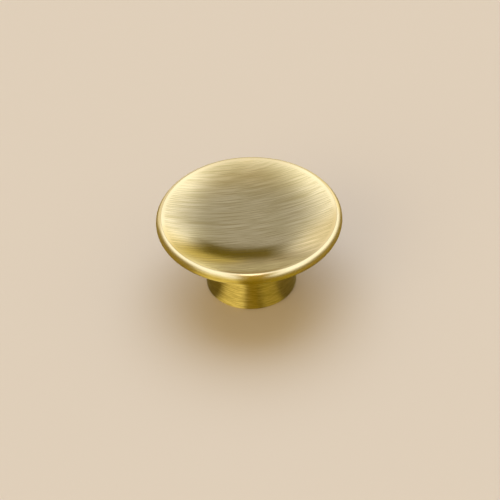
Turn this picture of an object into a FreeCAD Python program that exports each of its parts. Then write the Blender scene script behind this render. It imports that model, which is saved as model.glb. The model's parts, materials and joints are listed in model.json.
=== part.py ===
import FreeCAD, Part
import os
import Sketcher
from FreeCAD import Vector
from math import atan2, cos, radians, sin, tan

# Cabinet knob in solid brass: a round dished top with a rolled edge, on a short cylindrical neck.
# It is turned in one piece. The neck's flat foot seats on a door or drawer front, and an M4 screw
# comes through the front from behind into the blind thread in the neck.
# Millimetres. The origin is the centre of the foot, and +Z points away from the door.

# Driving sizes: the size's alias in the sheet, its value, and what it measures
DRIVING_SIZES = [
    ("top_diameter", 40.0, "widest diameter, at the rolled edge"),
    ("overall_height", 19.0, "foot to rim"),
    ("neck_diameter", 19.6, "cylindrical neck"),
    ("dish_depth", 3.8, "hollow in the top, below the rim"),
    ("edge_radius", 1.35, "outside of the dish's edge, rounded from the underside up to the shoulder"),
    ("shoulder_radius", 1.45, "top of the edge, rounded from there over the rim into the hollow"),
    ("shoulder_angle", 70.0, "where the two radii meet, in degrees up from the widest point"),
    ("underside_slope", 20.0, "underside of the dish, in degrees up from level"),
    ("neck_blend", 2.0, "radius between the neck and the underside of the dish"),
    ("foot_chamfer", 0.3, "chamfer round the foot"),
    ("seat_width", 3.4, "ring that the foot seats on, round a shallow recess"),
    ("recess_depth", 0.4, "recess in the foot"),
    ("thread_diameter", 4.0, "M4 thread, outer diameter"),
    ("thread_pitch", 0.7, "M4 thread, pitch"),
    ("hole_cover", 2.8, "metal left between the end of the hole and the hollow"),
    ("mouth_margin", 0.25, "countersunk mouth of the hole, beyond the thread on each side"),
    ("mouth_angle", 90.0, "countersunk mouth, full angle in degrees"),
    ("drill_point_angle", 118.0, "end of the hole, full angle in degrees"),
]

# Lines and arcs of the outline sketch, in the order they are drawn, and the points of each
SEAT, NECK, NECK_BLEND, UNDERSIDE, EDGE, SHOULDER, HOLLOW, AXIS = range(8)
START, END, CENTRE = 1, 2, 3
SKETCH_ORIGIN = (-1, 1)
SKETCH_LEVEL_AXIS = -1
SKETCH_UPRIGHT_AXIS = -2


def make_sheet(doc):
    """The sheet of driving sizes, one to a row: name, value, meaning."""
    sheet = doc.addObject("Spreadsheet::Sheet", "Sizes")
    for row, (alias, value, meaning) in enumerate(DRIVING_SIZES, start=1):
        sheet.set(f"A{row}", alias)
        sheet.set(f"B{row}", str(value))
        sheet.set(f"C{row}", meaning)
        sheet.setAlias(f"B{row}", alias)
    doc.recompute()
    return sheet


def new_sketch(body, name, role):
    """An empty sketch on the body's own origin plane of this role."""
    sketch = body.newObject("Sketcher::SketchObject", name)
    plane = next(feature for feature in body.Origin.OriginFeatures if feature.Role == role)
    sketch.AttachmentSupport = [(plane, "")]
    sketch.MapMode = "FlatFace"
    return sketch


def constrain(sketch, *definition, name=None, size=None):
    """Add a constraint, and where it is a size, name it and bind it to the sheet."""
    index = sketch.addConstraint(Sketcher.Constraint(*definition))
    if name:
        sketch.renameConstraint(index, name)
        sketch.setExpression(f"Constraints.{name}", size)


def polar(distance, angle):
    """The point at this distance from the sketch's origin, its angle up from level."""
    return Vector(distance * cos(angle), distance * sin(angle), 0)


def arc(centre, start, end):
    """The arc of up to half a turn about the centre, anticlockwise from start to end."""
    radius = (start - centre).Length
    from_angle = atan2(start.y - centre.y, start.x - centre.x)
    to_angle = atan2(end.y - centre.y, end.x - centre.x)
    return Part.Arc(start, centre + polar(radius, (from_angle + to_angle) / 2), end)


def draw_outline(sketch, sizes):
    """Half of the knob's outline: right is the radius, up is the height."""
    neck = sizes.neck_diameter / 2
    blend = sizes.neck_blend
    edge = sizes.edge_radius
    shoulder = sizes.shoulder_radius
    slope = radians(sizes.underside_slope)
    dish_bottom_height = sizes.overall_height - sizes.dish_depth

    # The edge is widest at the top's diameter, and its shoulder is highest at the rim. The hollow is
    # part of a sphere about the axis, and runs into the shoulder without a step.
    to_shoulder = polar(1, radians(sizes.shoulder_angle))
    between_centres = to_shoulder * (shoulder - edge)
    shoulder_reach = sizes.top_diameter / 2 - edge - between_centres.x
    shoulder_centre = Vector(shoulder_reach, sizes.overall_height - shoulder, 0)
    edge_centre = shoulder_centre + between_centres
    shoulder_start = edge_centre + to_shoulder * edge
    hollow = (sizes.dish_depth**2 + shoulder_reach**2) / (2 * sizes.dish_depth) - shoulder
    hollow_centre = Vector(0, dish_bottom_height + hollow, 0)
    off_hollow = (shoulder_centre - hollow_centre).normalize()

    # The underside is a cone that leaves the edge at its slope, and the blend joins it to the neck.
    off_underside = polar(1, slope - radians(90))
    edge_start = edge_centre + off_underside * edge
    blend_reach = neck + blend
    blend_run = edge_start.x - blend_reach + off_underside.x * blend
    blend_centre = Vector(blend_reach, edge_start.y - blend_run * tan(slope) + off_underside.y * blend, 0)

    foot_centre = Vector(0, 0, 0)
    foot_edge = Vector(neck, 0, 0)
    neck_top = Vector(neck, blend_centre.y, 0)
    underside_start = blend_centre - off_underside * blend
    dish_bottom = Vector(0, dish_bottom_height, 0)
    hollow_end = hollow_centre + off_hollow * hollow

    outline = [
        Part.LineSegment(foot_centre, foot_edge),
        Part.LineSegment(foot_edge, neck_top),
        arc(blend_centre, underside_start, neck_top),
        Part.LineSegment(underside_start, edge_start),
        arc(edge_centre, edge_start, shoulder_start),
        arc(shoulder_centre, shoulder_start, hollow_end),
        arc(hollow_centre, dish_bottom, hollow_end),
        Part.LineSegment(dish_bottom, foot_centre),
    ]
    for piece in outline:
        sketch.addGeometry(piece, False)

    # The outline closes, and runs smoothly from the neck to the bottom of the hollow.
    constrain(sketch, "Coincident", SEAT, START, *SKETCH_ORIGIN)
    constrain(sketch, "Coincident", SEAT, END, NECK, START)
    constrain(sketch, "Tangent", NECK, END, NECK_BLEND, END)
    constrain(sketch, "Tangent", NECK_BLEND, START, UNDERSIDE, START)
    constrain(sketch, "Tangent", UNDERSIDE, END, EDGE, START)
    constrain(sketch, "Tangent", EDGE, END, SHOULDER, START)
    constrain(sketch, "Tangent", SHOULDER, END, HOLLOW, END)
    constrain(sketch, "Coincident", HOLLOW, START, AXIS, START)
    constrain(sketch, "Coincident", AXIS, END, *SKETCH_ORIGIN)
    constrain(sketch, "Horizontal", SEAT)
    constrain(sketch, "Vertical", NECK)
    constrain(sketch, "Vertical", AXIS)
    constrain(sketch, "PointOnObject", HOLLOW, CENTRE, SKETCH_UPRIGHT_AXIS)

    constrain(sketch, "DistanceX", *SKETCH_ORIGIN, SEAT, END, neck,
              name="neck_radius", size="Sizes.neck_diameter / 2")
    constrain(sketch, "Radius", NECK_BLEND, blend,
              name="neck_blend", size="Sizes.neck_blend")
    constrain(sketch, "Angle", SKETCH_LEVEL_AXIS, UNDERSIDE, slope,
              name="underside_slope", size="Sizes.underside_slope * 1 deg")
    constrain(sketch, "Radius", EDGE, edge,
              name="edge_radius", size="Sizes.edge_radius")
    constrain(sketch, "DistanceX", *SKETCH_ORIGIN, EDGE, CENTRE, edge_centre.x,
              name="edge_reach", size="Sizes.top_diameter / 2 - Sizes.edge_radius")
    constrain(sketch, "DistanceX", EDGE, CENTRE, EDGE, END, to_shoulder.x * edge,
              name="shoulder_offset", size="Sizes.edge_radius * cos(Sizes.shoulder_angle * 1 deg)")
    constrain(sketch, "Radius", SHOULDER, shoulder,
              name="shoulder_radius", size="Sizes.shoulder_radius")
    constrain(sketch, "DistanceY", *SKETCH_ORIGIN, SHOULDER, CENTRE, shoulder_centre.y,
              name="shoulder_height", size="Sizes.overall_height - Sizes.shoulder_radius")
    constrain(sketch, "DistanceY", *SKETCH_ORIGIN, HOLLOW, START, dish_bottom_height,
              name="dish_bottom", size="Sizes.overall_height - Sizes.dish_depth")


def draw_circle(sketch, radius, size):
    """A circle about the knob's axis, with its radius bound to the sheet."""
    sketch.addGeometry(Part.Circle(Vector(0, 0, 0), Vector(0, 0, 1), radius), False)
    constrain(sketch, "Coincident", 0, CENTRE, *SKETCH_ORIGIN)
    constrain(sketch, "Radius", 0, radius, name="circle_radius", size=size)


def foot_edge_name(shape, neck):
    """The name of the circular edge between the foot and the neck's wall."""
    for number, edge in enumerate(shape.Edges, start=1):
        if edge.Degenerated or not edge.isClosed():
            continue
        if edge.BoundBox.ZMax < 1e-6 and abs(edge.Curve.Radius - neck) < 1e-6:
            return f"Edge{number}"
    raise RuntimeError("the foot has no outer edge")


def turn_body(doc, knob, sizes):
    """The outside of the knob, turned about its axis, with a chamfer round the foot."""
    outline = new_sketch(knob, "Outline", "XZ_Plane")
    draw_outline(outline, sizes)
    doc.recompute()

    turned = knob.newObject("PartDesign::Revolution", "Turned")
    turned.Profile = outline
    turned.ReferenceAxis = (outline, ["V_Axis"])
    turned.Angle = 360
    doc.recompute()

    chamfer = knob.newObject("PartDesign::Chamfer", "FootChamfer")
    chamfer.Base = (turned, [foot_edge_name(turned.Shape, sizes.neck_diameter / 2)])
    chamfer.setExpression("Size", "Sizes.foot_chamfer")
    doc.recompute()


def cut_recess(doc, knob, sizes):
    """The shallow recess inside the ring that the foot seats on."""
    outline = new_sketch(knob, "RecessOutline", "XY_Plane")
    radius = sizes.neck_diameter / 2 - sizes.seat_width
    draw_circle(outline, radius, "Sizes.neck_diameter / 2 - Sizes.seat_width")
    recess = knob.newObject("PartDesign::Pocket", "FootRecess")
    recess.Profile = outline
    recess.Reversed = True
    recess.setExpression("Length", "Sizes.recess_depth")
    doc.recompute()


def drill_screw_hole(doc, knob, sizes):
    """The blind hole for the thread, up from the recess, with a countersunk mouth."""
    outline = new_sketch(knob, "HoleOutline", "XY_Plane")
    outline.setExpression("AttachmentOffset.Base.z", "Sizes.recess_depth")
    draw_circle(outline, sizes.thread_diameter / 2, "Sizes.thread_diameter / 2")
    doc.recompute()

    hole = knob.newObject("PartDesign::Hole", "ScrewHole")
    hole.Profile = outline
    hole.Reversed = True
    doc.recompute()
    hole.DepthType = "Dimension"
    hole.DrillPoint = "Angled"
    hole.DrillForDepth = True
    hole.HoleCutType = "Countersink"
    hole.HoleCutCustomValues = True
    hole.setExpression("Diameter", "Sizes.thread_diameter - Sizes.thread_pitch")
    hole.setExpression(
        "Depth", "Sizes.overall_height - Sizes.dish_depth - Sizes.hole_cover - Sizes.recess_depth")
    hole.setExpression("DrillPointAngle", "Sizes.drill_point_angle")
    hole.setExpression("HoleCutDiameter", "Sizes.thread_diameter + 2 * Sizes.mouth_margin")
    hole.setExpression("HoleCutCountersinkAngle", "Sizes.mouth_angle")
    doc.recompute()


def check_model(doc, knob):
    """Stop where a feature failed, or where a cut removed nothing."""
    for item in doc.Objects:
        if "Invalid" in item.State or "Error" in item.State:
            raise RuntimeError(f"{item.Label} failed: {item.State}")
    if knob.Shape.isNull() or not knob.Shape.isValid() or len(knob.Shape.Solids) != 1:
        raise RuntimeError("the knob is not one valid solid")
    steps = [item for item in knob.Group if item.isDerivedFrom("PartDesign::Feature")]
    for before, after in zip(steps, steps[1:]):
        if after.Shape.Volume >= before.Shape.Volume:
            raise RuntimeError(f"{after.Label} removed no metal")


def main():
    doc = FreeCAD.newDocument("CabinetKnob")
    sizes = make_sheet(doc)
    knob = doc.addObject("PartDesign::Body", "knob")
    knob.Label = "knob"
    turn_body(doc, knob, sizes)
    cut_recess(doc, knob, sizes)
    drill_screw_hole(doc, knob, sizes)
    check_model(doc, knob)

    os.makedirs("parts", exist_ok=True)
    knob.Shape.exportStep(f"parts/{knob.Label}.step")
    box = knob.Shape.optimalBoundingBox(False, False)
    print(f"{knob.Label}: {box.XLength:.3f} x {box.YLength:.3f} x {box.ZLength:.3f} mm, "
          f"{knob.Shape.Volume:.1f} mm3")


main()
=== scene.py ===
import json
import math
from types import SimpleNamespace

import bpy
from mathutils import Matrix, Vector


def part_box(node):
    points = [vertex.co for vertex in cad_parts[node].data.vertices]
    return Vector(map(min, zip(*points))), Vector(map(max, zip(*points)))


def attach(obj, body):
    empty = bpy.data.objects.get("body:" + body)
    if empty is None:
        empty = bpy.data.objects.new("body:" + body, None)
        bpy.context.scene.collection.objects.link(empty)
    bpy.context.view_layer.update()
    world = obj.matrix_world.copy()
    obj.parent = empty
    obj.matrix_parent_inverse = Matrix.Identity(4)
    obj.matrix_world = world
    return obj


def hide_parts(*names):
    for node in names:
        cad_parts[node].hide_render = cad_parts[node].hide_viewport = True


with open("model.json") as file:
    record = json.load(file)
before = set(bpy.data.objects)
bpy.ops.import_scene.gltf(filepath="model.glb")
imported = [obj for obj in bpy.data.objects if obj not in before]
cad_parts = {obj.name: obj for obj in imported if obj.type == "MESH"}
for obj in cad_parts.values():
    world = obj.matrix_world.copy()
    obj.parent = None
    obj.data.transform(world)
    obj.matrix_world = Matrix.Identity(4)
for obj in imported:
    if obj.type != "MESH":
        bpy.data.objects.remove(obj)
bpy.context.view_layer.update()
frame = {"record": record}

# Cabinet knob in brushed brass: a dished top with a rounded edge on a short neck, turned in one piece.
# Metres. The origin is the centre of the foot and +Z points away from the door.

MM = 0.001

# Sizes of the knob. The widest radius, the height and the screw hole come from the frame.
knob_low, knob_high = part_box("knob")
screw_hole = next(mount for mount in frame["record"]["mounts"] if mount["name"] == "screw_hole")
TOP_RADIUS = knob_high.x
HEIGHT = knob_high.z
NECK_RADIUS = 9.8 * MM
DISH_DEPTH = 3.8 * MM
EDGE_RADIUS = 1.35 * MM
SHOULDER_RADIUS = 1.9 * MM
SHOULDER_START = math.radians(48)
SHOULDER_END = math.radians(72)
UNDERSIDE_SLOPE = math.radians(20)
NECK_BLEND = 2.0 * MM
FOOT_CHAMFER = 0.3 * MM
SEAT_WIDTH = 3.4 * MM
RECESS_DEPTH = 0.4 * MM
DRILL_RADIUS = screw_hole["dims"]["r_mm"] * MM
DRILL_START = screw_hole["pos_m"][2]
DRILL_END = DRILL_START + screw_hole["dims"]["length_mm"] * MM
DRILL_POINT = math.radians(118)

# M4 thread, whose crests lie on the drilled wall. The tap stops short of the hole's end.
THREAD_RADIUS = 2.0 * MM
THREAD_PITCH = 0.7 * MM
THREAD_FLANK = math.radians(30)
THREAD_ROOT = THREAD_PITCH / 8
THREAD_RUNOUT = 1.0 * MM
TAPPED_END = DRILL_END - 1.4 * MM
ROWS_A_TURN = 16

# Rounding that the machining leaves at the crest, between the shoulder and the dish, and on the foot
CREST_RADIUS = 0.06 * MM
CORNER_RADIUS = 0.06 * MM

# Steps along each stretch of the outline. The crest has some on the dish's side and some outside.
HOLLOW_STEPS = 56
CREST_STEPS = (5, 2)
SHOULDER_STEPS = 6
EDGE_STEPS = 32
UNDERSIDE_STEPS = 12
BLEND_STEPS = 14
NECK_STEPS = 14
CORNER_STEPS = 3
RECESS_STEPS = 4
HOLE_END_STEPS = 6

# Segments round the knob. Rings nearer the axis have a half or a quarter of them, and on it one point.
SEGMENTS = 320
HALF_WITHIN = 8.0 * MM
QUARTER_WITHIN = 3.0 * MM
AXIS_GAP = 0.001 * MM

# A bend sharper than this shows as a corner.
SHARPEST_BEND = math.radians(50)

# The brushing on the dish is in one direction, turned a little from the X axis, seen from above.
BRUSH_ANGLE = math.radians(8)

# Places on the UV map, which is a square from 0 to 1. U follows the brushing everywhere: straight
# across the dish, and round the knob elsewhere. A strip is its left, right, low and high side.
MAP_NAME = "OFBake"
DISH_MIDDLE = Vector((0.31, 0.69))
DISH_SPAN = 0.6
OUTSIDE_STRIP = (0.01, 0.99, 0.01, 0.37)
HOLE_STRIP = (0.63, 0.99, 0.39, 0.99)

# Distance along the outline from the crest, below zero in the dish, kept on each vertex
FROM_CREST = "from_crest"

# Finishes, and the faces that have them. Each has its name, whether its brush lines are straight,
# its roughness and anisotropy, the depth of its lines, their contrast, and how far they are drawn out.
DISH, OUTSIDE, FOOT = range(3)
FINISHES = [("brass_brushed_straight", True, 0.115, 0.5, 0.009 * MM, 1.0, 1.0),
            ("brass_brushed_round", False, 0.26, 0.85, 0.020 * MM, 1.7, 0.3),
            ("brass_turned", False, 0.32, 0.6, 0.006 * MM, 0.8, 1.0)]

# Brush lines of three sizes: length, width, share in the whole, and seed. Together they vary about
# their middle, and their colour and roughness change within these spreads and ranges of it.
BRUSH_LINES = [(50 * MM, 1.2 * MM, 0.10, 3.0), (16 * MM, 0.28 * MM, 0.35, 2.0),
               (7 * MM, 0.13 * MM, 0.55, 1.0)]
LINES_MIDDLE = 0.5
SHADE_SPREAD = 0.06
ROUGH_RANGE = (0.35, 0.65)
ROUGH_SPREAD = 0.04

# Patina lies in soft patches, this many to the metre.
PATINA_SCALE = 90.0
PATINA_RANGE = (0.35, 0.7)
PATINA_SHARE = 0.35

# Near the crest the metal is worn: it loses these shares of its brush lines and of its roughness, and its
# colour turns paler there, partly as wear and partly as a painted highlight along the rim.
# Down the edge the lines come back, and further down the metal is duller.
WORN_AND_HIGHLIGHT_REACH = (0.3 * MM, 1.2 * MM)
WORN_LINES = 0.8
WORN_ROUGHNESS = 0.4
LINES_REACH = (1.0 * MM, 4.0 * MM)
LINES_KEPT = (0.2, 1.0)
DULL_REACH = (3.0 * MM, 7.0 * MM)
DULL_ROUGHNESS = 0.08

# Linear colours
BRASS_PALE = (0.94, 0.755, 0.325, 1)
BRASS_DEEP = (0.66, 0.505, 0.175, 1)
BRASS_OLIVE = (0.70, 0.56, 0.19, 1)
# The crest's paler brass: partly polish from wear, partly a painted highlight that brightens the rim
BRASS_WORN_AND_HIGHLIGHT = (0.88, 0.69, 0.28, 1)
FLOOR_COLOUR = (0.745, 0.624, 0.485, 1)

FLOOR_SIZE = 6.0
FLOOR_GAP = 0.01 * MM

# Directions are unit vectors with parts to the right, behind the knob and up. A soft patch of light
# is an azimuth, right from straight behind the knob, an elevation, and the angles from its middle
# where it is full and where it ends, all in degrees, and its colour. Other ranges of light are sines,
# or degrees where a sine is taken of them.

# What the metal reflects: a dark warm room with a low window at the front left, and a bright tent,
# which hangs lower behind, in front and at the right, and has a gap at the viewer's side
ROOM = (0.30, 0.23, 0.06, 1)
WINDOW = (-143, 12, 11, 36, (0.93, 0.88, 0.72, 1))
TENT = (1.30, 1.41, 2.1, 1)
TENT_TILT = 0.50
TENT_FRONT_TILT = -0.20
TENT_LEAN = 0.08
TENT_ENDS = (0.42, 0.87)
TENT_GAP = (0.38, 0.27, 0.02, 1)
GAP_MIDDLE = 0.05
GAP_SIDES = (0.40, 0.10)
GAP_FRONT = (-0.02, -0.25)

# Under the tent two low panels, a grey backdrop of three patches behind the knob, and a lamp overhead
UNDER_TENT = [(-30, 14, 8, 24, (0.90, 0.88, 1.0, 1)), (25, 9, 8, 20, (1.14, 1.13, 1.2, 1)),
              (0, 66, 5, 25, (0.50, 0.47, 0.50, 1)), (0, 28, 6, 17, (0.36, 0.36, 0.46, 1)),
              (0, 47, 11, 31, (0.415, 0.43, 0.61, 1)), (180, 86, 3, 9, (2.6, 2.4, 3.2, 1))]

# The backdrop stands on a base, paler low down, with two glows on it. Over it is a dark slot, which
# rises past its bend at the right: its place and half sizes, and where it bends and how steeply.
BEHIND = (0.0, 0.2)
BASE_LOW = (0.57, 0.56, 0.56, 1)
BASE_HIGH = (0.36, 0.33, 0.33, 1)
BASE_RISE = (3, 13)
BASE_TOP = (21, 13)
BASE_SIDES = (16, 6)
GLOWS = [(14, 0, 3, 12, (0.95, 0.95, 0.85, 1)), (10, 16, 2, 11, (0.66, 0.58, 0.25, 1))]
SLOT = (0.13, 0.10, 0.0, 1)
SLOT_PLACE = (3.2, 19.6)
SLOT_HALF = (5.8, 4.2)
SLOT_SIDES = (15, 6)
SLOT_BEND = (0.09, 0.3)

# The metal sees a painted floor instead of the lit one: a darker, warmer glow than the camera sees, with
# painted shade that is darkest near the knob, and painted pools of light where the window, the backdrop and
# a weak light at the front right would fall on it
FLOOR_NEAR_PAINTED_SHADE = (0.10, 0.07, 0.0, 1)
FLOOR_FAR_PAINTED_GLOW = (0.31, 0.23, 0.05, 1)
FLOOR_REACH = (15 * MM, 25 * MM)
FLOOR_PAINTED_LIGHTS = [(-150, 0, 2, 32, (0.78, 0.66, 0.25, 1)), (180, 0, 1, 15, (0.26, 0.185, 0.01, 1)),
                 (150, 0, 0, 22, (0.36, 0.28, 0.03, 1)), (0, 0, 12, 42, (0.80, 0.76, 0.74, 1))]

# What falls on the floor: a warm room, a cooler light from behind and above, and the window. Together
# they come to about one in each channel.
FLOOR_FILL = (0.60, 0.51, 0.345, 1)
FLOOR_LIGHTS = [(0, 63, 18, 40, (1.92, 2.25, 2.9, 1)), (-135, 30, 10, 30, (1.9, 1.7, 1.2, 1))]

# The camera: it looks at a point on the knob's axis, which the photograph shows at a known pixel.
# Its angles are in degrees and its scale in pixels to the metre.
FRAME_PIXELS = 500
CAMERA_AIM = 16 * MM
AIM_PIXEL = (249.31, 224.52)
CAMERA_RISE = 41.52
CAMERA_ROLL = -2.29
CAMERA_DISTANCE = 0.5
SCALE_AT_AIM = 4653
SENSOR_WIDTH = 36.0


def arc_points(centre, radius, start, end, steps):
    """Points (radius, height) on an arc, its angles measured up from level and outwards."""
    points = []
    for step in range(steps + 1):
        angle = start + (end - start) * step / steps
        points.append(Vector((centre[0] + radius * math.cos(angle), centre[1] + radius * math.sin(angle))))
    return points


def line_points(start, end, steps):
    """Points (radius, height) on a straight line, with both ends."""
    return [Vector(start).lerp(Vector(end), step / steps) for step in range(steps + 1)]


def rounded_points(corners):
    """Points (radius, height) along these corners, the inner ones rounded."""
    points = [Vector(corners[0])]
    for before, corner, after in zip(corners, corners[1:], corners[2:]):
        corner = Vector(corner)
        to_before = (Vector(before) - corner).normalized()
        to_after = (Vector(after) - corner).normalized()
        half_angle = to_before.angle(to_after) / 2
        centre = corner + (to_before + to_after).normalized() * (CORNER_RADIUS / math.sin(half_angle))
        reach = CORNER_RADIUS / math.tan(half_angle)
        first = corner + to_before * reach - centre
        last = corner + to_after * reach - centre
        start = math.atan2(first.y, first.x)
        turn = math.remainder(math.atan2(last.y, last.x) - start, 2 * math.pi)
        points += arc_points(centre, CORNER_RADIUS, start, start + turn, CORNER_STEPS)
    return points + [Vector(corners[-1])]


def chained(*runs):
    """Runs of points joined end to end, each start that repeats the last end left out."""
    points = list(runs[0])
    for run in runs[1:]:
        points += run[1:]
    return points


def inward(angle, distance):
    """A move by this distance away from where an outline lies at this angle."""
    return Vector((math.cos(angle), math.sin(angle))) * -distance


# Centres of the edge, the shoulder and the crest, each arc tangent to the next. The crest's top is
# level with the knob's, and the edge reaches its widest radius.
TO_SHOULDER = inward(SHOULDER_START, SHOULDER_RADIUS - EDGE_RADIUS)
TO_CREST = TO_SHOULDER + inward(SHOULDER_END, CREST_RADIUS - SHOULDER_RADIUS)
EDGE_CENTRE = Vector((TOP_RADIUS - EDGE_RADIUS, HEIGHT - CREST_RADIUS - TO_CREST.y))
SHOULDER_CENTRE = EDGE_CENTRE + TO_SHOULDER
CREST_CENTRE = EDGE_CENTRE + TO_CREST


def dish_outline():
    """From the bottom of the dish out to the top of the crest."""
    below = CREST_CENTRE.y - (HEIGHT - DISH_DEPTH)
    hollow_radius = (CREST_CENTRE.x**2 + below**2 - CREST_RADIUS**2) / (2 * (CREST_RADIUS + below))
    hollow_centre = Vector((0, HEIGHT - DISH_DEPTH + hollow_radius))
    touch = math.atan2(CREST_CENTRE.y - hollow_centre.y, CREST_CENTRE.x)
    hollow = arc_points(hollow_centre, hollow_radius, -math.pi / 2, touch, HOLLOW_STEPS)
    crest = arc_points(CREST_CENTRE, CREST_RADIUS, touch + math.pi, math.pi / 2, CREST_STEPS[0])
    return chained(hollow, crest)


def outside_outline():
    """From the top of the crest down the edge, the underside and the neck to the seat's middle."""
    edge_end = UNDERSIDE_SLOPE - math.pi / 2
    crest = arc_points(CREST_CENTRE, CREST_RADIUS, math.pi / 2, SHOULDER_END, CREST_STEPS[1])
    shoulder = arc_points(SHOULDER_CENTRE, SHOULDER_RADIUS, SHOULDER_END, SHOULDER_START, SHOULDER_STEPS)
    edge = arc_points(EDGE_CENTRE, EDGE_RADIUS, SHOULDER_START, edge_end, EDGE_STEPS)
    off_underside = Vector((math.cos(edge_end), math.sin(edge_end)))
    blend_x = NECK_RADIUS + NECK_BLEND
    run = edge[-1].x - blend_x + off_underside.x * NECK_BLEND
    blend_y = edge[-1].y - run * math.tan(UNDERSIDE_SLOPE) + off_underside.y * NECK_BLEND
    blend = arc_points((blend_x, blend_y), NECK_BLEND, edge_end + math.pi, math.pi, BLEND_STEPS)
    foot = rounded_points([blend[-1], (NECK_RADIUS, FOOT_CHAMFER), (NECK_RADIUS - FOOT_CHAMFER, 0),
                           (NECK_RADIUS - SEAT_WIDTH / 2, 0)])
    return chained(crest, shoulder, edge, line_points(edge[-1], blend[0], UNDERSIDE_STEPS), blend,
                   line_points(foot[0], foot[1], NECK_STEPS), foot[1:])


def recess_outline():
    """From the middle of the seat over its inner edge, and across the recess to the hole's mouth."""
    recess_radius = NECK_RADIUS - SEAT_WIDTH
    mouth_radius = DRILL_RADIUS + DRILL_START - RECESS_DEPTH
    seat = rounded_points([(NECK_RADIUS - SEAT_WIDTH / 2, 0), (recess_radius, 0),
                           (recess_radius, RECESS_DEPTH), (recess_radius - SEAT_WIDTH / 4, RECESS_DEPTH)])
    return chained(seat, line_points(seat[-1], (mouth_radius, RECESS_DEPTH), RECESS_STEPS))


def groove_radius(angle, height):
    """How far from the axis the thread's groove reaches at this place, or the drilled wall between."""
    turns = height / THREAD_PITCH - angle / (2 * math.pi)
    off_groove = abs(turns % 1 - 0.5) * THREAD_PITCH
    groove = THREAD_RADIUS - max(0.0, off_groove - THREAD_ROOT / 2) / math.tan(THREAD_FLANK)
    depth = max(0.0, groove - DRILL_RADIUS)
    fade = min(1.0, max(0.0, (TAPPED_END - height) / THREAD_RUNOUT))
    return DRILL_RADIUS + depth * fade


class Turning:
    """A mesh made of rings about the axis, each joined to the one before."""

    def __init__(self):
        self.vertices = []
        self.lengths = []
        self.faces = []
        self.map_points = []
        self.slots = []
        self.last = None

    def ring(self, radius, height, place, slot, true_radius=None):
        """Add a ring and join it on. true_radius gives its radius at an angle, if that varies."""
        point = Vector((radius, height))
        length = self.last.length + (point - self.last.point).length if self.last else 0.0
        count = segments_at(radius)
        made = SimpleNamespace(point=point, length=length, count=count, start=len(self.vertices))
        for index in range(count):
            angle = 2 * math.pi * index / count
            reach = true_radius(angle) if true_radius else radius
            self.vertices.append(Vector((reach * math.cos(angle), reach * math.sin(angle), height)))
            self.lengths.append(length)
        if self.last:
            self.join(self.last, made, place, slot)
        self.last = made

    def join(self, before, after, place, slot):
        """Faces between two rings, each corner with its place on the map."""
        for corners in ring_faces(before, after):
            self.faces.append([ring.start + index % ring.count for ring, index in corners])
            self.slots.append(slot)
            for ring, index in corners:
                vertex = self.vertices[ring.start + index % ring.count]
                self.map_points.append(place(vertex, index / ring.count, ring.length))


def segments_at(radius):
    """How many vertices a ring of this radius has."""
    if radius < AXIS_GAP:
        return 1
    if radius < QUARTER_WITHIN:
        return SEGMENTS // 4
    if radius < HALF_WITHIN:
        return SEGMENTS // 2
    return SEGMENTS


def ring_faces(before, after):
    """The corners (ring, index) of each face between two rings, anticlockwise seen from outside."""
    if before.count == after.count:
        for index in range(before.count):
            yield (before, index), (after, index), (after, index + 1), (before, index + 1)
    elif before.count == 1:
        for index in range(after.count):
            yield (before, 0), (after, index), (after, index + 1)
    elif after.count == 1:
        for index in range(before.count):
            yield (before, index), (after, 0), (before, index + 1)
    elif before.count > after.count:
        for index in range(after.count):
            middle = 2 * index + 1
            yield (before, middle - 1), (after, index), (before, middle)
            yield (before, middle), (after, index), (after, index + 1)
            yield (before, middle), (after, index + 1), (before, middle + 1)
    else:
        for index in range(before.count):
            middle = 2 * index + 1
            yield (before, index), (after, middle - 1), (after, middle)
            yield (before, index), (after, middle), (before, index + 1)
            yield (before, index + 1), (after, middle), (after, middle + 1)


def on_dish_map(vertex, turn, length):
    """The dish lies flat on the map, its brushing along U."""
    across = Vector(vertex[:2])
    across.rotate(Matrix.Rotation(-BRUSH_ANGLE, 2))
    return DISH_MIDDLE + across * (DISH_SPAN / 2 / CREST_CENTRE.x)


def on_strip(strip, first_length, last_length):
    """A stretch of the outline is unrolled on the map, U round the knob and V along the outline."""
    left, right, low, high = strip

    def place(vertex, turn, length):
        down = (length - first_length) / (last_length - first_length)
        return Vector((left + (right - left) * turn, high - (high - low) * down))

    return place


def outline_length(points):
    return sum((after - before).length for before, after in zip(points, points[1:]))


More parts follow.
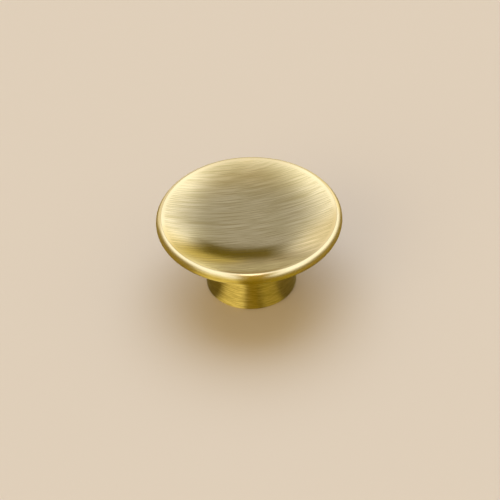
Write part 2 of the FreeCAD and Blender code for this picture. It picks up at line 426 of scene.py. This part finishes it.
def knob_mesh():
    """The whole knob as one closed mesh, from the bottom of the dish round to the end of its hole."""
    dish = dish_outline()
    outside = outside_outline()
    recess = recess_outline()
    rows = round((TAPPED_END - RECESS_DEPTH) / THREAD_PITCH * ROWS_A_TURN)
    hole = line_points((recess[-1].x, RECESS_DEPTH), (recess[-1].x, TAPPED_END), rows)
    tip = DRILL_END + DRILL_RADIUS / math.tan(DRILL_POINT / 2)
    hole_end = chained(line_points((DRILL_RADIUS, TAPPED_END), (DRILL_RADIUS, DRILL_END), HOLE_END_STEPS),
                       line_points((DRILL_RADIUS, DRILL_END), (0, tip), HOLE_END_STEPS))

    crest = outline_length(dish)
    foot = crest + outline_length(outside)
    end = foot + outline_length(recess) + outline_length(hole) + outline_length(hole_end)
    outside_place = on_strip(OUTSIDE_STRIP, crest, foot)
    hole_place = on_strip(HOLE_STRIP, foot, end)

    turning = Turning()
    for point in dish:
        turning.ring(point.x, point.y, on_dish_map, DISH)
    for point in outside[1:]:
        turning.ring(point.x, point.y, outside_place, OUTSIDE)
    for point in recess[1:]:
        turning.ring(point.x, point.y, hole_place, FOOT)
    for point in hole[1:]:
        cone = DRILL_RADIUS + max(0.0, DRILL_START - point.y)
        turning.ring(cone, point.y, hole_place, FOOT,
                     lambda angle: max(cone, groove_radius(angle, point.y)))
    for point in hole_end[1:]:
        turning.ring(point.x, point.y, hole_place, FOOT)

    mesh = bpy.data.meshes.new("knob_brass")
    mesh.from_pydata(turning.vertices, [], turning.faces)
    map_layer = mesh.uv_layers.new(name=MAP_NAME)
    map_layer.uv.foreach_set("vector", [number for point in turning.map_points for number in point])
    from_crest = mesh.attributes.new(FROM_CREST, "FLOAT", "POINT")
    from_crest.data.foreach_set("value", [length - crest for length in turning.lengths])
    mesh.polygons.foreach_set("material_index", turning.slots)
    mesh.shade_smooth()
    mesh.set_sharp_from_angle(angle=SHARPEST_BEND)
    return mesh


def add_object(name, data):
    """An object with this data, in the scene."""
    made = bpy.data.objects.new(name, data)
    bpy.context.scene.collection.objects.link(made)
    return made


def first_node(tree, kind):
    """The node of this type that the tree starts with."""
    return next(node for node in tree.nodes if node.type == kind)


def add_node(tree, kind, inputs, **settings):
    """A shader node, its inputs linked where they are sockets and set where they are values."""
    node = tree.nodes.new(kind)
    for name, value in settings.items():
        setattr(node, name, value)
    for name, value in inputs.items():
        if isinstance(value, bpy.types.NodeSocket):
            tree.links.new(value, node.inputs[name])
        else:
            node.inputs[name].default_value = value
    return node


def math_node(tree, operation, first, second=0.0):
    return add_node(tree, "ShaderNodeMath", {0: first, 1: second}, operation=operation).outputs[0]


def distance_from(tree, value, middle):
    """How far the value lies from this middle, to either side."""
    return math_node(tree, "ABSOLUTE", math_node(tree, "SUBTRACT", value, middle))


def remapped(tree, value, from_min, from_max, to_min=0.0, to_max=1.0):
    """The value moved smoothly from one range to another, and kept inside it."""
    inputs = {"Value": value, "From Min": from_min, "From Max": from_max, "To Min": to_min, "To Max": to_max}
    return add_node(tree, "ShaderNodeMapRange", inputs, interpolation_type="SMOOTHSTEP").outputs[0]


def colour_mix(tree, factor, first, second):
    """The first colour where the factor is 0, and the second where it is 1."""
    return add_node(tree, "ShaderNodeMix", {0: factor, 6: first, 7: second}, data_type="RGBA").outputs[2]


def brush_place(tree, place, from_crest, straight):
    """Where a point lies along the brush lines, as two lengths, and where it lies across them."""
    if straight:
        turned = add_node(tree, "ShaderNodeVectorRotate", {"Vector": place, "Angle": -BRUSH_ANGLE},
                          rotation_type="Z_AXIS").outputs[0]
        axes = add_node(tree, "ShaderNodeSeparateXYZ", {0: turned}).outputs
        return (axes["X"], 0.0), axes["Y"]
    axes = add_node(tree, "ShaderNodeSeparateXYZ", {0: place}).outputs
    return (axes["X"], axes["Y"]), from_crest


def brush_lines(tree, along, across, stretch):
    """Brush lines of each size, laid over one another: noise drawn out along them, from 0 to 1."""
    lines = 0.0
    for length, width, share, seed in BRUSH_LINES:
        run_x, run_y = (math_node(tree, "DIVIDE", axis, length * stretch) for axis in along)
        place = add_node(tree, "ShaderNodeCombineXYZ",
                         {"X": run_x, "Y": run_y, "Z": math_node(tree, "DIVIDE", across, width)})
        inputs = {"Vector": place.outputs[0], "W": seed, "Scale": 1.0, "Detail": 2.0, "Roughness": 0.55}
        noise = add_node(tree, "ShaderNodeTexNoise", inputs, noise_dimensions="4D").outputs["Fac"]
        lines = math_node(tree, "ADD", math_node(tree, "MULTIPLY", noise, share), lines)
    return lines


def worn_down(tree, worn_and_highlight, loss):
    """A factor of 1 where the metal isn't worn, which falls by this loss where it is."""
    return math_node(tree, "SUBTRACT", 1.0, math_node(tree, "MULTIPLY", worn_and_highlight, loss))


def brass_colour(tree, place, lines, worn_and_highlight, contrast):
    """Paler and deeper along the brush lines, olive in patches of patina, and paler round the crest, partly
    from wear and partly as a painted highlight.
    """
    spread = SHADE_SPREAD / contrast
    shade = remapped(tree, lines, LINES_MIDDLE - spread, LINES_MIDDLE + spread)
    brass = colour_mix(tree, shade, BRASS_DEEP, BRASS_PALE)
    tarnish = add_node(tree, "ShaderNodeTexNoise", {"Vector": place, "Scale": PATINA_SCALE, "Detail": 3.0})
    patina = remapped(tree, tarnish.outputs["Fac"], *PATINA_RANGE)
    brass = colour_mix(tree, math_node(tree, "MULTIPLY", patina, PATINA_SHARE), brass, BRASS_OLIVE)
    # Round the crest the colour turns paler: partly wear, partly a painted highlight on the rim
    return colour_mix(tree, worn_and_highlight, brass, BRASS_WORN_AND_HIGHLIGHT)


def brushed_brass(name, straight, roughness, anisotropy, depth, contrast, stretch):
    """Brass with brush lines, straight across the dish or round the knob, worn at the crest and paled there
    by a painted highlight.
    """
    material = bpy.data.materials.new(name)
    material.use_nodes = True
    tree = material.node_tree
    place = add_node(tree, "ShaderNodeTexCoord", {}).outputs["Object"]
    from_crest = add_node(tree, "ShaderNodeAttribute", {}, attribute_name=FROM_CREST).outputs["Fac"]
    # The crest zone: worn there, and its colour paled by a painted highlight
    worn_and_highlight = remapped(tree, math_node(tree, "ABSOLUTE", from_crest), *WORN_AND_HIGHLIGHT_REACH, 1.0, 0.0)

    lines = brush_lines(tree, *brush_place(tree, place, from_crest, straight), stretch)
    if straight:
        kept = worn_down(tree, worn_and_highlight, WORN_LINES)
    else:
        kept = remapped(tree, from_crest, *LINES_REACH, *LINES_KEPT)
    off_middle = math_node(tree, "SUBTRACT", lines, LINES_MIDDLE)
    lines = math_node(tree, "ADD", LINES_MIDDLE, math_node(tree, "MULTIPLY", off_middle, kept))

    rough = remapped(tree, lines, *ROUGH_RANGE, roughness + ROUGH_SPREAD, roughness - ROUGH_SPREAD)
    if not straight:
        rough = math_node(tree, "ADD", rough, remapped(tree, from_crest, *DULL_REACH, 0.0, DULL_ROUGHNESS))
    rough = math_node(tree, "MULTIPLY", rough, worn_down(tree, worn_and_highlight, WORN_ROUGHNESS))
    bump = add_node(tree, "ShaderNodeBump", {"Height": lines, "Distance": depth, "Strength": 1.0})
    tangent = add_node(tree, "ShaderNodeTangent", {}, direction_type="UV_MAP", uv_map=MAP_NAME)

    shader = first_node(tree, "BSDF_PRINCIPLED")
    tree.links.new(brass_colour(tree, place, lines, worn_and_highlight, contrast), shader.inputs["Base Color"])
    tree.links.new(rough, shader.inputs["Roughness"])
    tree.links.new(bump.outputs[0], shader.inputs["Normal"])
    tree.links.new(tangent.outputs[0], shader.inputs["Tangent"])
    shader.inputs["Metallic"].default_value = 1.0
    shader.inputs["Anisotropic"].default_value = anisotropy
    shader.inputs["Anisotropic Rotation"].default_value = 0.25
    return material


def add_knob():
    mesh = knob_mesh()
    for finish in FINISHES:
        mesh.materials.append(brushed_brass(*finish))
    knob = add_object("knob_brass", mesh)
    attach(knob, "root")
    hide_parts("knob")


def toward(azimuth, elevation):
    """The direction at this azimuth and elevation, in degrees."""
    turn, rise = math.radians(azimuth), math.radians(elevation)
    return Vector((math.sin(turn) * math.cos(rise), math.cos(turn) * math.cos(rise), math.sin(rise)))


def with_patches(tree, way, light, patches):
    """The light with these soft patches laid over it, one after another."""
    for azimuth, elevation, inner, outer, colour in patches:
        off_axis = add_node(tree, "ShaderNodeVectorMath", {0: way, 1: toward(azimuth, elevation)},
                            operation="DOT_PRODUCT").outputs["Value"]
        share = remapped(tree, off_axis, math.cos(math.radians(outer)), math.cos(math.radians(inner)))
        light = colour_mix(tree, share, light, colour)
    return light


def floor_paper_and_painted_glow():
    """Plain matt paper to the camera, and to the metal a painted glow that changes with the place: painted
    shade near the knob and painted pools of light.
    """
    material = bpy.data.materials.new("floor_paper_and_painted_glow")
    material.use_nodes = True
    tree = material.node_tree
    shader = first_node(tree, "BSDF_PRINCIPLED")
    shader.inputs["Base Color"].default_value = FLOOR_COLOUR
    shader.inputs["Roughness"].default_value = 0.9
    shader.inputs["Specular IOR Level"].default_value = 0.1

    place = add_node(tree, "ShaderNodeTexCoord", {}).outputs["Object"]
    outward = add_node(tree, "ShaderNodeVectorMath", {0: place}, operation="NORMALIZE").outputs[0]
    reach = add_node(tree, "ShaderNodeVectorMath", {0: place}, operation="LENGTH").outputs["Value"]
    # Painted shade near the knob and painted pools of light, which only the metal sees
    seen = colour_mix(tree, remapped(tree, reach, *FLOOR_REACH), FLOOR_NEAR_PAINTED_SHADE, FLOOR_FAR_PAINTED_GLOW)
    painted_glow = add_node(tree, "ShaderNodeEmission", {"Color": with_patches(tree, outward, seen, FLOOR_PAINTED_LIGHTS)})
    glossy_ray = add_node(tree, "ShaderNodeLightPath", {}).outputs["Is Glossy Ray"]
    mixed = add_node(tree, "ShaderNodeMixShader", {0: glossy_ray, 1: shader.outputs[0], 2: painted_glow.outputs[0]})
    tree.links.new(mixed.outputs[0], first_node(tree, "OUTPUT_MATERIAL").inputs["Surface"])
    return material


def add_floor():
    mesh = bpy.data.meshes.new("floor")
    half = FLOOR_SIZE / 2
    corners = [(-half, -half), (half, -half), (half, half), (-half, half)]
    mesh.from_pydata([(*corner, -FLOOR_GAP) for corner in corners], [], [(0, 1, 2, 3)])
    mesh.materials.append(floor_paper_and_painted_glow())
    add_object("floor", mesh)


def sines(angles):
    """The sines of these angles, in degrees."""
    return [math.sin(math.radians(angle)) for angle in angles]


def with_tent(tree, right, behind, rise, light):
    """The light with the tent and its gap laid over it."""
    tilt = math_node(tree, "MAXIMUM", math_node(tree, "MULTIPLY", behind, TENT_TILT),
                     math_node(tree, "MULTIPLY", behind, TENT_FRONT_TILT))
    leaning = math_node(tree, "ADD", tilt, math_node(tree, "MULTIPLY", right, TENT_LEAN))
    tilted = math_node(tree, "ADD", rise, leaning)
    light = colour_mix(tree, remapped(tree, tilted, *TENT_ENDS), light, TENT)
    gap = math_node(tree, "MULTIPLY", remapped(tree, distance_from(tree, right, GAP_MIDDLE), *GAP_SIDES),
                    remapped(tree, behind, *GAP_FRONT))
    return colour_mix(tree, gap, light, TENT_GAP)


def with_base(tree, right, rise, is_behind, light):
    """The light with the backdrop's base laid over it."""
    aside = math_node(tree, "ABSOLUTE", right)
    base = math_node(tree, "MULTIPLY", remapped(tree, rise, *sines(BASE_TOP)),
                     remapped(tree, aside, *sines(BASE_SIDES)))
    colour = colour_mix(tree, remapped(tree, rise, *sines(BASE_RISE)), BASE_LOW, BASE_HIGH)
    return colour_mix(tree, math_node(tree, "MULTIPLY", base, is_behind), light, colour)


def with_slot(tree, right, rise, is_behind, light):
    """The light with the dark slot laid over it."""
    bend_start, bend_slope = SLOT_BEND
    past_bend = math_node(tree, "MAXIMUM", math_node(tree, "SUBTRACT", right, bend_start), 0.0)
    bent = math_node(tree, "SUBTRACT", rise, math_node(tree, "MULTIPLY", past_bend, bend_slope))
    middle, height = sines(SLOT_PLACE)
    slot = math_node(tree, "MULTIPLY", remapped(tree, distance_from(tree, bent, height), *sines(SLOT_HALF)),
                     remapped(tree, distance_from(tree, right, middle), *sines(SLOT_SIDES)))
    return colour_mix(tree, math_node(tree, "MULTIPLY", slot, is_behind), light, SLOT)


def reflected_light(tree, way):
    """What the metal sees above the floor, each thing laid over those before it."""
    right, behind, rise = add_node(tree, "ShaderNodeSeparateXYZ", {0: way}).outputs
    is_behind = remapped(tree, behind, *BEHIND)
    light = with_patches(tree, way, ROOM, [WINDOW])
    light = with_tent(tree, right, behind, rise, light)
    light = with_patches(tree, way, light, UNDER_TENT)
    light = with_base(tree, right, rise, is_behind, light)
    light = with_patches(tree, way, light, GLOWS)
    return with_slot(tree, right, rise, is_behind, light)


def add_world():
    """The studio. The camera sees the floor's colour where the floor ends."""
    world = bpy.data.worlds.new("studio")
    bpy.context.scene.world = world
    world.use_nodes = True
    tree = world.node_tree
    way = add_node(tree, "ShaderNodeTexCoord", {}).outputs["Generated"]
    rays = add_node(tree, "ShaderNodeLightPath", {}).outputs
    falling = with_patches(tree, way, FLOOR_FILL, FLOOR_LIGHTS)
    light = colour_mix(tree, rays["Is Glossy Ray"], falling, reflected_light(tree, way))
    seen = colour_mix(tree, rays["Is Camera Ray"], light, FLOOR_COLOUR)
    tree.links.new(seen, first_node(tree, "BACKGROUND").inputs["Color"])


def add_camera():
    """The photograph's view: from above the knob's front, its frame turned a little."""
    camera = add_object("camera", bpy.data.cameras.new("camera"))
    rise = math.radians(CAMERA_RISE)
    aim = Vector((0, 0, CAMERA_AIM))
    camera.location = aim + Vector((0, -math.cos(rise), math.sin(rise))) * CAMERA_DISTANCE
    focal = SCALE_AT_AIM * CAMERA_DISTANCE
    camera.data.sensor_width = SENSOR_WIDTH
    camera.data.lens = SENSOR_WIDTH * focal / FRAME_PIXELS
    # From the frame's middle, the aim lies this far right and down, in focal lengths.
    right = (AIM_PIXEL[0] - FRAME_PIXELS / 2) / focal
    down = (AIM_PIXEL[1] - FRAME_PIXELS / 2) / focal
    to_aim = Matrix.Rotation(math.atan(down), 4, "X") @ Matrix.Rotation(math.atan(right), 4, "Y")
    level = (aim - camera.location).to_track_quat("-Z", "Y").to_matrix().to_4x4()
    turned = level @ Matrix.Rotation(math.radians(CAMERA_ROLL), 4, "Z") @ to_aim
    camera.rotation_euler = turned.to_euler()
    camera.data.clip_start = 0.01
    camera.data.clip_end = 20.0
    bpy.context.scene.camera = camera


add_knob()
add_floor()
add_world()
add_camera()
bpy.context.scene.view_settings.view_transform = "Standard"
